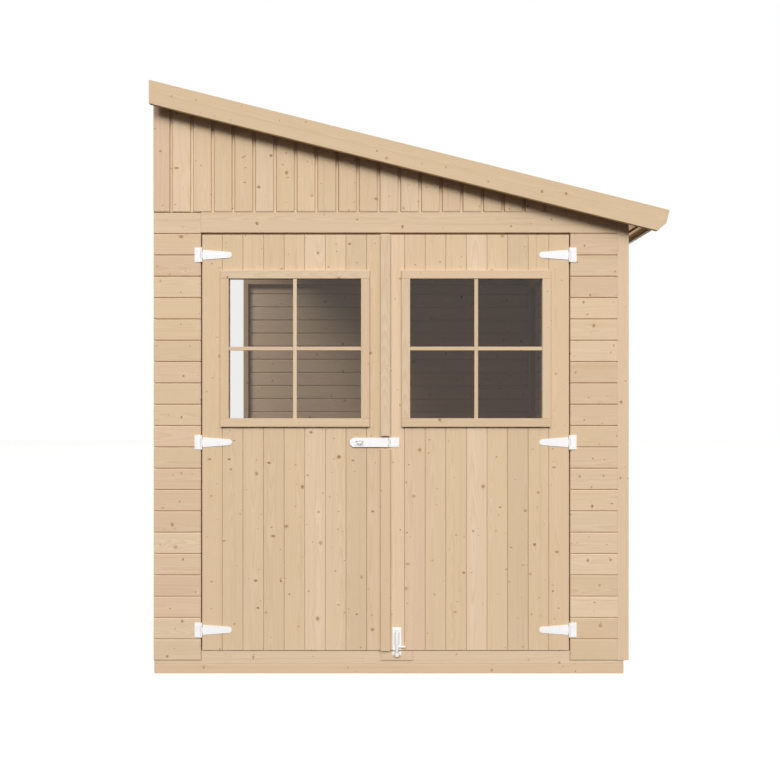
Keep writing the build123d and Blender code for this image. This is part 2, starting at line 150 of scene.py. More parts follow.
class ShedFinish(bpy.types.PropertyGroup):
    """Colours of the finishes."""

    wood: a_colour("Wood", "Planed softwood", 0.730, 0.555, 0.370)
    wood_pale: a_colour("Pale wood", "Early wood between the rings", 0.780, 0.605, 0.425)
    wood_pink: a_colour("Pink wood", "Boards cut near the heart", 0.735, 0.535, 0.375)
    wood_sawn: a_colour("Sawn wood", "Frame timbers inside", 0.60, 0.43, 0.27)
    knot: a_colour("Knot", "Heart of a knot", 0.20, 0.105, 0.045)
    paint: a_colour("Paint", "White paint on the fittings", 0.97, 0.96, 0.962)
    felt: a_colour("Felt", "Mineral on the roofing felt", 0.075, 0.078, 0.082)
    glass: a_colour("Glass", "Tint of the panes", 0.915, 0.915, 0.91)


class ShedStage(bpy.types.PropertyGroup):
    """Camera and lamps."""

    camera_distance: a_length("Camera distance", "From the front boards", 3.006)
    camera_height: a_length("Camera height", "Above the ground", 1.132)
    camera_side: a_length("Camera side", "From the tall end of the front wall", 0.9416)
    picture_width: a_length("Picture width", "What is seen of the front wall's plane", 3.1067)
    sky: a_number("Sky", "Strength of the even light", 0.13)
    key: a_number("Key", "Power of the main panel, in watts", 13550.0)
    key_width: a_length("Key width", "Main panel, across", 40.0)
    key_height: a_length("Key height", "Main panel, upwards", 18.0)
    top: a_number("Top", "Power of the panel overhead, in watts", 1900.0)
    rear: a_number("Rear", "Strength of the lamp behind the shed", 4.0)
    rear_angle: an_angle("Rear size", "How wide the rear lamp looks", 0.5)
    side: a_number("Side", "Strength of the lamp at the tall side", 2.2)
    side_angle: an_angle("Side size", "How wide the side lamp looks", 0.2)
    left: a_number("Left", "Strength of the lamp from the front left", 1.05)
    left_angle: an_angle("Left size", "How wide the front left lamp looks", 0.3)
    eave: a_number("Eave", "Power of the panel under the eave, in watts", 4.5)


# Small tools for modelling


def clear_selection():
    """Leaves nothing selected."""
    bpy.ops.object.select_all(action="DESELECT")


def activate(piece):
    """Selects one object alone and makes it active."""
    clear_selection()
    piece.select_set(True)
    bpy.context.view_layer.objects.active = piece


def edit(piece, action="DESELECT"):
    """Opens an object in edit mode with nothing selected in it, or all of it."""
    activate(piece)
    bpy.ops.object.mode_set(mode="EDIT")
    bpy.ops.mesh.select_all(action=action)


def close_edit():
    """Back to object mode."""
    bpy.ops.object.mode_set(mode="OBJECT")


def pick(piece, mode, test):
    """In edit mode, selects the faces or edges for which the test holds."""
    bpy.ops.mesh.select_mode(type=mode)
    bpy.ops.mesh.select_all(action="DESELECT")
    mesh = bmesh.from_edit_mesh(piece.data)
    for part in mesh.faces if mode == "FACE" else mesh.edges:
        part.select_set(bool(test(part)))
    bmesh.update_edit_mesh(piece.data)


def extrude(*way):
    """In edit mode, pushes the selected faces out or in along a way."""
    bpy.ops.mesh.extrude_region_move(TRANSFORM_OT_translate={"value": way})


def block(name, low, high):
    """A cube primitive at its size and place."""
    clear_selection()
    low, high = Vector(low), Vector(high)
    bpy.ops.mesh.primitive_cube_add(size=1, location=(low + high) / 2)
    piece = bpy.context.object
    piece.name = name
    piece.scale = high - low
    bpy.ops.object.transform_apply()
    return piece


def modify(piece, kind, **settings):
    """Adds one modifier and applies it."""
    activate(piece)
    modifier = piece.modifiers.new(kind.title(), kind)
    for key, value in settings.items():
        setattr(modifier, key, value)
    bpy.ops.object.modifier_apply(modifier=modifier.name)
    return piece


def ease(piece, width):
    """Rounds every sharp edge."""
    sharp = math.radians(35)
    return modify(piece, "BEVEL", width=width, segments=2, limit_method="ANGLE", angle_limit=sharp)


def trim(piece, point, normal):
    """Cuts away what lies beyond a plane, on the side that its normal points to, and closes the cut."""
    edit(piece, "SELECT")
    bpy.ops.mesh.bisect(plane_co=point, plane_no=normal, use_fill=True, clear_outer=True)
    close_edit()


def point_outwards(piece):
    """Turns every face of closed boards outwards."""
    edit(piece, "SELECT")
    bpy.ops.mesh.normals_make_consistent()
    close_edit()


def join(name, pieces):
    """Joins several meshes in one."""
    clear_selection()
    for piece in pieces:
        piece.select_set(True)
    bpy.context.view_layer.objects.active = pieces[0]
    if len(pieces) > 1:
        bpy.ops.object.join()
    joined = bpy.context.view_layer.objects.active
    joined.name = name
    joined.data.name = name
    return joined


def moved_copy(piece, matrix):
    """A copy with its own mesh, moved in its mesh."""
    twin = piece.copy()
    twin.data = piece.data.copy()
    twin.data.transform(matrix)
    bpy.context.scene.collection.objects.link(twin)
    return twin


def body_of(node):
    """The body that a node rides on."""
    groups = frame["record"]["behaviour"]["bodies"]
    return next(body for body, members in groups.items() if node in members)


def slot_of(node):
    """The material slot of a node."""
    return next(part["material_slot"] for part in frame["record"]["subparts"] if part["node"] == node)


def coat(piece, material):
    """Gives an object one material."""
    piece.data.materials.clear()
    piece.data.materials.append(material)


def settle(piece, node, material, replaces=True, slot=None):
    """Gives a finished piece its material and its body, and hides the node that it replaces."""
    coat(piece, material)
    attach(piece, body_of(node))
    slot or slot_of(node)
    if replaces:
        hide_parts(node)


def reach(node, direction):
    """Lowest and highest place of a node along a direction."""
    places = [vertex.co.dot(direction) for vertex in NODES[node].data.vertices]
    return min(places), max(places)


def spans(node, inward, across):
    """How far a node reaches along its boards, inwards and across them."""
    return [reach(node, way) for way in (inward.cross(across), inward, across)]


def roof_slope():
    """A point under the roof boards, the way down the slope, the way out of it and the boards' depth."""
    vertices = [vertex.co for vertex in NODES["roof_boards"].data.vertices]
    low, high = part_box("roof_boards")
    starts = [v.z for v in vertices if v.x < low.x + NEAR]
    end = max(v.z for v in vertices if v.x > high.x - NEAR)
    down = Vector((high.x - low.x, 0, end - max(starts))).normalized()
    out = down.cross(Y)
    return Vector((low.x, 0, min(starts))), down, out, (max(starts) - min(starts)) * out.z


def islands(mesh):
    """The separate solids of a bmesh, each as a list of its faces."""
    seen, found = set(), []
    for first in mesh.faces:
        if first in seen:
            continue
        island, queue = [], [first]
        seen.add(first)
        while queue:
            face = queue.pop()
            island.append(face)
            for other in (link for edge in face.edges for link in edge.link_faces):
                if other not in seen:
                    seen.add(other)
                    queue.append(other)
        found.append(island)
    return found


def solid_boxes(node):
    """The lowest and the highest corner of each separate solid of a node."""
    mesh = bmesh.new()
    mesh.from_mesh(NODES[node].data)
    bmesh.ops.remove_doubles(mesh, verts=mesh.verts, dist=SAME)
    boxes = []
    for island in islands(mesh):
        sides = list(zip(*(vertex.co for face in island for vertex in face.verts)))
        boxes.append([Vector([end(side) for side in sides]) for end in (min, max)])
    mesh.free()
    return boxes


# Grain maps: U runs along the grain in metres, and each board has its own row of V


def fresh_map(piece):
    """An empty grain map, with no other map beside it."""
    drop_maps(piece)
    return piece.data.uv_layers.new(name="Grain")


def drop_maps(piece):
    """Takes every map off a piece."""
    for layer in list(piece.data.uv_layers):
        piece.data.uv_layers.remove(layer)


def map_boards(piece, along, across, start, cover, seed):
    """Grain map for a wall of boards, where each board is found by its place across."""
    shifts = random.Random(seed)
    offsets = [shifts.uniform(0, GRAIN_SHIFT) for _ in range(MOST_BOARDS)]
    rows = [shifts.randrange(0, GRAIN_ROWS) for _ in range(MOST_BOARDS)]
    layer = fresh_map(piece)
    for face in piece.data.polygons:
        board = int((face.center.dot(across) - start) // cover)
        offset, row = offsets[board % MOST_BOARDS], rows[board % MOST_BOARDS]
        on_side = abs(face.normal.dot(across)) > 0.8
        for loop in face.loop_indices:
            place = piece.data.vertices[piece.data.loops[loop].vertex_index].co
            width = place.dot(across) - start - board * cover
            if on_side:
                width = place.dot(along.cross(across)) % JOINT_STRIP
            layer.data[loop].uv = (place.dot(along) + offset, width + GRAIN_ROW * row + ROW_MARGIN)


def map_timbers(piece, seed):
    """Grain map for loose timbers, where the grain follows each timber's longest edge."""
    shifts = random.Random(seed)
    layer = fresh_map(piece)
    mesh = bmesh.new()
    mesh.from_mesh(piece.data)
    for island in islands(mesh):
        edges = dict.fromkeys(edge for face in island for edge in face.edges)
        longest = max(edges, key=lambda edge: edge.calc_length())
        along = (longest.verts[1].co - longest.verts[0].co).normalized()
        shift = shifts.uniform(0, GRAIN_SHIFT)
        row = shifts.randrange(0, GRAIN_ROWS)
        places = [vertex.co for face in island for vertex in face.verts]
        for face in island:
            across = face.normal.cross(along)
            if across.length < 0.3:
                across = along.orthogonal()
            across.normalize()
            least = min(place.dot(across) for place in places)
            for loop, corner in zip(piece.data.polygons[face.index].loop_indices, face.loops):
                place = corner.vert.co
                width = place.dot(across) - least
                layer.data[loop].uv = (place.dot(along) + shift, width + GRAIN_ROW * row + ROW_MARGIN / 2)
    mesh.free()


# Boards


def runs_through(edge, length):
    """Whether an edge runs the whole length of a board."""
    return abs(edge.verts[1].co.x - edge.verts[0].co.x) > length * 0.9


def tongue_and_groove(piece, beside_tongue, out, beside_groove, deep, above=0):
    """In edit mode, draws a tongue out of a board's upper side and sinks a groove in its lower side."""
    pick(piece, "FACE", lambda f: f.normal.z > FACING and f.calc_center_median().z > above)
    bpy.ops.mesh.inset(thickness=beside_tongue)
    extrude(0, 0, out)
    pick(piece, "FACE", lambda f: f.normal.z < -FACING)
    bpy.ops.mesh.inset(thickness=beside_groove)
    extrude(0, 0, deep)


def plain_board(length, cover, thickness, gap, vee, rear_vee=None):
    """One tongued and grooved board, with its face at y = 0 and its joints chamfered on both faces."""
    rear_vee = rear_vee or vee
    piece = block("board", (0, 0, 0), (length, thickness, cover - gap))
    edit(piece)
    for face, width in ((0, vee), (thickness, rear_vee)):
        pick(piece, "EDGE", lambda e: runs_through(e, length) and abs(e.verts[0].co.y - face) < SAME)
        bpy.ops.mesh.bevel(offset=width, affect="EDGES")
    inset = (thickness - vee - rear_vee) * 0.33
    tongue_and_groove(piece, inset, gap + 4 * MM, inset * 0.9, 5 * MM)
    close_edit()
    return piece


def lipped_board(length, cover, thickness, gap, lip, step):
    """One board with a raised and eased face, and a sunk lip between that face and the next board."""
    shoulder = cover - gap - lip
    piece = block("board", (0, step, 0), (length, thickness, cover - gap))
    edit(piece, "SELECT")
    bpy.ops.mesh.bisect(plane_co=(0, 0, shoulder), plane_no=(0, 0, 1))
    pick(piece, "FACE", lambda f: f.normal.y < -FACING and f.calc_center_median().z < shoulder)
    extrude(0, -step, 0)
    pick(piece, "EDGE", lambda e: all(v.co.y < NEAR for v in e.verts) and runs_through(e, length))
    bpy.ops.mesh.bevel(offset=2 * MM, segments=2, affect="EDGES")
    pick(piece, "EDGE", lambda e: all(v.co.y < NEAR and v.co.x > length - NEAR for v in e.verts))
    bpy.ops.mesh.bevel(offset=4 * MM, affect="EDGES")
    beside_tongue = (thickness - step) * 0.3
    tongue_and_groove(piece, beside_tongue, gap + 3 * MM, thickness * 0.25, 4 * MM, shoulder + lip / 2)
    close_edit()
    return piece


def board_wall(name, space, pattern, inward, across, first, cover, cuts=()):
    """Fills a space with copies of one board and trims them to its sides and to further planes.

    The pattern board lies along X with its face at y = 0 and its joints on Z.
    A cut is a point and a way out.
    """
    along = inward.cross(across)
    (low_along, _), (face, _), (low_across, high_across) = space
    start = low_across + first - cover
    turn = Matrix((along, inward, across)).transposed().to_4x4()
    planes = [(across * low_across, -across), (across * high_across, across), *cuts]
    boards = []
    for number in range(math.ceil((high_across - start) / cover)):
        place = along * low_along + inward * face + across * (start + number * cover)
        board = moved_copy(pattern, Matrix.Translation(place) @ turn)
        for point, out in planes:
            beyond = [(vertex.co - point).dot(out) for vertex in board.data.vertices]
            if max(beyond) > SAME and min(beyond) < 0:
                trim(board, point, out)
        boards.append(board)
    bpy.data.objects.remove(pattern)
    wall = join(name, boards)
    point_outwards(wall)
    return wall


def lay(name, node, ways, widths, board, details, finish, seed, cuts=(), hole=None, grain=None):
    """Puts boards in a node's place, each made by a function with its details, and finishes them.

    The ways are inwards and across the boards, and the widths what the first one and the others cover.
    """
    (inward, across), (first, cover) = ways, widths
    space = spans(node, inward, across)
    length, depth = (high - low for low, high in space[:2])
    pattern = board(length, cover, depth, *details)
    wall = board_wall(name, space, pattern, inward, across, first, cover, cuts)
    if hole:
        cutter = block("cutter", *hole)
        modify(wall, "BOOLEAN", operation="DIFFERENCE", object=cutter, solver="EXACT")
        bpy.data.objects.remove(cutter)
    start = space[2][0] + (first - cover)
    map_boards(wall, grain or inward.cross(across), across, start, cover, seed)
    settle(wall, node, MATERIALS[finish])


def stud(radius, middle):
    """The head of a nail or a screw, facing up, with its rim eased and its middle raised or sunk."""
    clear_selection()
    sunk = (0, 0, 0.25 * MM)
    bpy.ops.mesh.primitive_cylinder_add(vertices=12, radius=radius, depth=1 * MM, location=sunk)
    piece = bpy.context.object
    bpy.ops.object.transform_apply()
    edit(piece)
    pick(piece, "FACE", lambda f: f.normal.z > FACING)
    bpy.ops.mesh.inset(thickness=radius * 0.2, depth=0.3 * MM)
    bpy.ops.mesh.inset(thickness=radius * 0.35)
    bpy.ops.transform.translate(value=(0, 0, middle))
    close_edit()
    return piece


def timber(node, material, width, seed):
    """A node's own shape with eased edges and a grain map along each of its timbers."""
    piece = moved_copy(NODES[node], Matrix.Identity(4))
    piece.name = piece.data.name = f"{node}_wood"
    piece.parent = None
    for key in list(piece.keys()):
        del piece[key]
    edit(piece, "SELECT")
    bpy.ops.mesh.remove_doubles(threshold=SAME)
    bpy.ops.mesh.dissolve_limited(angle_limit=math.radians(1))
    close_edit()
    ease(piece, width)
    map_timbers(piece, seed)
    settle(piece, node, material)


# Shader expressions


class Wire:
    """One output socket in a material, on which plain arithmetic adds Math nodes."""

    def __init__(self, graph, socket):
        self.graph = graph
        self.socket = socket

    def math(self, operation, *values):
        return self.graph.math(operation, self, *values)

    def __add__(self, other):
        return self.math("ADD", other)

    def __sub__(self, other):
        return self.math("SUBTRACT", other)

    def __mul__(self, other):
        return self.math("MULTIPLY", other)

    def __truediv__(self, other):
        return self.math("DIVIDE", other)

    def __rsub__(self, other):
        return self.graph.math("SUBTRACT", other, self)

    def __rtruediv__(self, other):
        return self.graph.math("DIVIDE", other, self)

    __radd__ = __add__
    __rmul__ = __mul__


class Graph:
    """The node tree of one material or of the world."""

    def __init__(self, owner):
        self.owner = owner
        owner.use_nodes = True
        self.tree = owner.node_tree
        self.tree.nodes.clear()

    def node(self, kind, settings=None, inputs=None, out=0):
        """Adds a node, sets it up, fills its sockets and returns one of its outputs, if it has any."""
        made = self.tree.nodes.new(f"ShaderNode{kind}")
        for key, value in (settings or {}).items():
            setattr(made, key, value)
        for key, value in (inputs or {}).items():
            if isinstance(value, Wire):
                self.tree.links.new(value.socket, made.inputs[key])
            else:
                made.inputs[key].default_value = value
        return Wire(self, made.outputs[out]) if len(made.outputs) else None

    def math(self, operation, *values):
        """One step of arithmetic."""
        return self.node("Math", {"operation": operation}, dict(enumerate(values)))

    def mix(self, factor, first, second):
        """Mixes two colours."""
        colours = {6: self.rgba(first), 7: self.rgba(second)}
        return self.node("Mix", {"data_type": "RGBA"}, {"Factor": factor, **colours}, 2)

    def rgba(self, colour):
        """A colour with its alpha, or a wire as it is."""
        return colour if isinstance(colour, Wire) else (*colour, 1)

    def vector(self, x, y, z):
        """Joins three numbers in a vector."""
        return self.node("CombineXYZ", {}, {0: x, 1: y, 2: z})

    def split(self, vector):
        """The three numbers of a vector."""
        parts = self.node("SeparateXYZ", {}, {0: vector}).socket.node.outputs
        return [Wire(self, socket) for socket in parts]

    def chance(self, x, y, z):
        """Three even random numbers for a cell."""
        cell = {"Vector": self.vector(x, y, z)}
        return self.split(self.node("TexWhiteNoise", {}, cell, "Color"))

    def noise(self, vector, scale, detail=2.0, roughness=0.5):
        """Soft noise about 0.5."""
        inputs = {"Vector": vector, "Scale": scale, "Detail": detail, "Roughness": roughness}
        return self.node("TexNoise", {}, inputs, "Fac")

    def drawn_noise(self, x, y, z, detail=2.0, roughness=0.5):
        """Soft noise about 0.5, drawn out by what its coordinates are multiplied by."""
        return self.noise(self.vector(x, y, z), 1.0, detail, roughness)

    def fade(self, value, start, end):
        """A smooth step from 0 at start to 1 at end."""
        inputs = {"Value": value, "From Min": start, "From Max": end}
        return self.node("MapRange", {"interpolation_type": "SMOOTHSTEP"}, inputs)

    def place(self, kind="Object"):
        """Where a point lies on its piece."""
        return self.node("TexCoord", {}, {}, kind)

    def ray(self, kind):
        """Whether a ray is of a kind."""
        return self.node("LightPath", {}, {}, f"Is {kind} Ray")

    def bump(self, height, strength, distance):
        """The normal of a surface with a height."""
        inputs = {"Strength": strength, "Distance": distance, "Height": height}
        return self.node("Bump", {}, inputs, "Normal")

    def output(self, shader, kind="Material"):
        """Ends the tree with a shader and returns what the tree belongs to."""
        self.node(f"Output{kind}", {}, {"Surface": shader})
        return self.owner

    def surface(self, **sockets):
        """Ends the tree with a Principled surface and returns its material."""
        names = [key.replace("_", " ").title().replace("Ior", "IOR") for key in sockets]
        return self.output(self.node("BsdfPrincipled", {}, dict(zip(names, sockets.values()))))


def new_graph(name):
    """The graph of a new material."""
    return Graph(bpy.data.materials.new(name))


def tinted(colour, *factors):
    """A colour times one factor, or times one for each of its parts."""
    return [part * factor for part, factor in zip(colour, factors * 3)]


def knot_marks(graph, along, across, row, spacing, chance, least, spread):
    """Knots strewn along the boards: their mark, core and stain, and the grain's way past them."""
    cell = (along / spacing).math("FLOOR")
    place_a, place_b, size = graph.chance(cell, row, 5.1)
    there, oval, strength = graph.chance(cell, row, 9.4)
    off_along = along - (cell + 0.2 + place_a * 0.6) * spacing
    off_across = across - (0.014 + place_b * 0.072)
    present = there.math("LESS_THAN", chance)
    radius = (least + size * size * spread) * present + 0.00001
    wobble = graph.drawn_noise(along * 210.0, across * 210.0, row) - 0.5
    distance = (off_along * off_along * (0.6 + oval * 2.2) + off_across * off_across).math("SQRT")
    ratio = (distance + wobble * least * 2.4) / radius
    mark = (1.0 - graph.fade(ratio, 0.7, 1.2)) * (0.35 + strength * 0.6)
    core = 1.0 - graph.fade(ratio, 0.3, 1.0)
    halo = 1.0 - graph.fade(ratio, 0.9, 2.2)
    bend = 1.0 / (radius * radius * 16.0)
    near = (off_along * off_along * bend * -0.35 + off_across * off_across * bend * -1.0).math("EXPONENT")
    return mark, core, halo, across - off_across * near * present * 0.8


def softwood(name, base, pale, pink, knot_colour, tone=1.0, knots=0.68, roughness=0.62, streaks=1.0):
    """Planed spruce: arched rings, fibres, streaks, large and small knots and a tone for each board."""
    graph = new_graph(name)
    along, flat, _ = graph.split(graph.place("UV"))
    row = (flat / GRAIN_ROW).math("FLOOR")
    across = flat - row * GRAIN_ROW
    first, second, third = graph.chance(row, 3.7, 1.3)
    knot, core, halo, bent = knot_marks(
        graph, along, across, row, spacing=0.15, chance=knots, least=0.0026, spread=0.0050
    )
    pin, _, pin_halo, bent = knot_marks(
        graph, along, bent, row + 0.37, spacing=0.07, chance=knots * 0.8, least=0.0014, spread=0.0020
    )

    # Rings: they lie round the heart of the trunk, which is off the board's face
    rise = graph.drawn_noise(along * 0.9, bent * 2.5, row * 3.1, 1.0) - 0.5
    waver = graph.drawn_noise(along * 5.0, bent * 22.0, row * 1.9) - 0.5
    depth = 0.010 + first * 0.045 + rise * 0.075 + waver * 0.0042
    off = bent - (0.020 + second * 0.055)
    ring = ((off * off + depth * depth).math("SQRT") / (0.0026 + third * 0.0020)).math("FRACT")
    late = graph.fade(ring, 0.25, 0.86) * (1.0 - graph.fade(ring, 0.90, 1.0))
    fibre = graph.drawn_noise(along * 9.0, bent * 850.0, row, 3.0, 0.6)
    streak = graph.drawn_noise(along * 0.8, bent * 75.0, row * 2.3, 3.0, 0.6)
    cloud = graph.drawn_noise(along * 2.2, across * 16.0, row * 1.7)

    # Colour: the board's own, darker late wood, fibres and streaks, the board's tone, and knots on top
    deep = tinted(base, 0.80, 0.71, 0.58)
    wood = graph.mix(graph.fade(first, 0.35, 1.0), base, pale)
    wood = graph.mix(graph.fade(third, 0.5, 1.0) * 0.9, wood, pink)
    wood = graph.mix(late * 0.24 * streaks, wood, deep)
    wood = graph.mix(graph.fade(fibre, 0.45, 0.80) * 0.30 * streaks, wood, deep)
    wood = graph.mix(graph.fade(streak, 0.50, 0.82) * 0.40 * streaks, wood, deep)
    shade = (0.935 + second * 0.07 + cloud * 0.05) * tone
    shades = graph.vector(shade, shade, shade)
    wood = graph.node("VectorMath", {"operation": "MULTIPLY"}, {0: wood, 1: shades})
    stain = tinted(base, 0.72, 0.58, 0.42)
    wood = graph.mix((halo * 0.28).math("MAXIMUM", pin_halo * 0.20), wood, stain)
    heart = graph.mix(core * 0.7, knot_colour, tinted(knot_colour, 2.1))
    wood = graph.mix(knot.math("MAXIMUM", pin * 0.85), wood, heart)

    height = fibre * 0.5 + late * 0.35 - knot * 0.2
    return graph.surface(
        base_color=wood,
        roughness=roughness - knot * 0.16 + (fibre - 0.5) * 0.12,
        normal=graph.bump(height, 0.35, 0.0004),
        specular_ior_level=0.3,
    )


def painted_metal(name, colour):
    """White paint on pressed steel: slightly uneven, with a soft sheen."""
    graph = new_graph(name)
    place = graph.place()
    mottle = graph.noise(place, 55.0, 3.0)
    peel = graph.noise(place, 900.0)
    return graph.surface(
        base_color=graph.mix(graph.fade(mottle, 0.40, 0.75) * 0.35, colour, tinted(colour, 0.90)),
        roughness=0.34 + mottle * 0.12,
        normal=graph.bump(peel, 0.12, 0.0002),
        specular_ior_level=0.5,
    )


def bare_metal(name):
    """Zinc-plated nails."""
    graph = new_graph(name)
    spangle = graph.noise(graph.place(), 700.0, 3.0)
    colour = graph.mix(spangle, (0.62, 0.63, 0.64), (0.42, 0.43, 0.45))
    return graph.surface(base_color=colour, metallic=1.0, roughness=0.32 + spangle * 0.2)


def window_glass(name, tint):
    """Sheet glass that is clear to look through and mirrors a little on the side that is looked at."""
    graph = new_graph(name)
    ripple = graph.bump(graph.noise(graph.place(), 6.0, 1.0), 0.05, 0.002)
    clear = graph.node("BsdfTransparent", {}, {"Color": (*tint, 1)})
    gloss = {"Color": (0.95, 0.97, 0.97, 1), "Roughness": 0.02, "Normal": ripple}
    mirror = graph.node("BsdfGlossy", {}, gloss)
    edge = graph.node("Fresnel", {}, {"IOR": 1.57})
    inside = graph.node("NewGeometry", {}, {}, "Backfacing")
    return graph.output(graph.node("MixShader", {}, {0: edge * (1.0 - inside), 1: clear, 2: mirror}))


def roofing_felt(name, colour):
    """Bitumen felt strewn with mineral grains."""
    graph = new_graph(name)
    place = graph.place()
    grains = graph.node("TexVoronoi", {}, {"Vector": place, "Scale": 650.0}, "Color")
    tone, _, _ = graph.split(grains)
    wear = graph.noise(place, 7.0, 4.0)
    mottle = graph.noise(place, 90.0, 3.0)
    dark = graph.mix(tone * tone, colour, tinted(colour, 3.1))
    dark = graph.mix(graph.fade(mottle, 0.35, 0.75) * 0.35, dark, tinted(colour, 1.7))
    dark = graph.mix(graph.fade(wear, 0.45, 0.75) * 0.25, dark, (0.17, 0.165, 0.155))
    return graph.surface(
        base_color=dark,
        roughness=0.88 + mottle * 0.1,
        normal=graph.bump(tone, 0.7, 0.0008),
        specular_ior_level=0.2,
    )


MATERIALS = {}


def make_materials(finish):
    """Every finish of the shed, by the name of what it is on."""
    planed = [list(colour) for colour in (finish.wood, finish.wood_pale, finish.wood_pink, finish.knot)]
    pale, knot, sawn = planed[1], planed[3], list(finish.wood_sawn)
    MATERIALS.update(
        wall=softwood("wall_boards", *planed),
        door=softwood("door_boards", *planed),
        trim=softwood("planed_trim", *planed, tone=0.97, knots=0.4),
        barge=softwood("barge_board_wood", *planed, tone=0.97, knots=0.4),
        sawn=softwood(
            "sawn_timber", sawn, tinted(sawn, 1.08), sawn, knot, knots=0.5, roughness=0.78, streaks=1.3
        ),
        floor=softwood("floor_wood", sawn, pale, sawn, knot, tone=0.95, roughness=0.66),
        roof=softwood("roof_board_wood", *planed, tone=0.92),
        paint=painted_metal("white_paint", list(finish.paint)),
        zinc=bare_metal("zinc_plate"),
        glass=window_glass("pane_glass", list(finish.glass)),
        felt=roofing_felt("roof_felt_mineral", list(finish.felt)),
        backing=roofing_felt("roof_felt_backing", (0.20, 0.19, 0.18)),
    )


# Operators, one for each group of pieces


class SHED_OT_wall_boards(bpy.types.Operator):
    """Covers the walls with level tongued boards"""

    bl_idname = "shed.wall_boards"
    bl_label = "Wall Boards"

    def execute(self, context):
        sizes = context.scene.shed_boards
        cover = sizes.wall_cover
        point, _, out, _ = roof_slope()
        walls = (
            ("front_boards_left", "front_cladding_left", Y, 11, ()),
            ("front_boards_right", "front_cladding_right", Y, 12, ()),
            ("side_boards", "side_cladding", -X, 13, [(point, out)]),
            ("back_boards", "back_cladding", -Y, 14, ()),
        )
        details = (sizes.joint_gap, sizes.wall_vee, sizes.wall_vee * 2)
        for name, node, inward, seed, cuts in walls:
            lay(name, node, (inward, Z), (cover, cover), plain_board, details, "wall", seed, cuts)
        return {"FINISHED"}


class SHED_OT_gable_boards(bpy.types.Operator):
    """Fills both gables with upright lipped boards"""

    bl_idname = "shed.gable_boards"
    bl_label = "Gable Boards"

    def execute(self, context):
        sizes = context.scene.shed_boards
        point, _, out, _ = roof_slope()
        widths = (sizes.gable_first, sizes.gable_cover)
        details = (sizes.joint_gap * 1.6, sizes.gable_lip, sizes.gable_step)
        for side, inward, seed in (("front", Y, 21), ("back", -Y, 22)):
            node, ways = f"{side}_gable", (inward, inward.cross(Z))
            lay(f"{node}_boards", node, ways, widths, lipped_board, details, "wall", seed, [(point, out)])
        return {"FINISHED"}


PLANED = (
    *("door_header", "corner_trims", "threshold", "bolt_block", "meeting_strip"),
    "base_beams_front_back",
)
SAWN = (
    *("base_beams_sides", "floor_joists", "back_sill", "side_sill", "wall_posts", "front_lintel"),
    *("back_top_rail", "side_top_plate", "gable_rails", "high_side_beam", "rafters", "door_stops"),
    *("left_door_battens", "right_door_battens"),
)


class SHED_OT_timbers(bpy.types.Operator):
    """Eases and grains the frame, the trims, the base and the battens"""

    bl_idname = "shed.timbers"
    bl_label = "Timbers"

    def execute(self, context):
        groups = (("trim", PLANED, 140), ("sawn", SAWN, 60), ("barge", ("barge_boards",), 90))
        for finish, nodes, first_seed in groups:
            for seed, node in enumerate(nodes, first_seed):
                timber(node, MATERIALS[finish], context.scene.shed_boards.edge, seed)
        return {"FINISHED"}


class SHED_OT_roof(bpy.types.Operator):
    """Lays the roof boards and the lath at the eave"""

    bl_idname = "shed.roof"
    bl_label = "Roof"

    def execute(self, context):
        sizes = context.scene.shed_boards
        cover = sizes.roof_cover
        point, down, out, depth = roof_slope()
        low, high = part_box("roof_boards")
        eave = sorted({round(vertex.co.x, 5) for vertex in NODES["roof_boards"].data.vertices})[-2]
        span = (high.x - low.x) / down.x
        start = point.dot(down)
        first = ((eave - sizes.eave_board - low.x) / down.x) % cover
        above = 10 * MM  # how far the top board reaches past the underside, because its end is cut upright
        space = [(low.y, high.y), (point.dot(out), 0), (start - above, start + span)]
        details = (sizes.joint_gap, sizes.roof_lip, sizes.roof_step)
        pattern = lipped_board(high.y - low.y, cover, depth, *details)
        ends = [(low, -X), (Vector((eave, 0, 0)), X)]
        deck = board_wall("roof_deck_boards", space, pattern, out, down, first + above, cover, ends)
        lath = block("eave_lath", (eave, low.y, low.z), (high.x, high.y, high.z))
        trim(lath, point + out * depth, out)
        ease(lath, 1 * MM)
        deck = join("roof_deck_boards", [deck, lath])
        map_boards(deck, Y, down, start + first - cover, cover, 31)
        settle(deck, "roof_boards", MATERIALS["roof"])
        return {"FINISHED"}


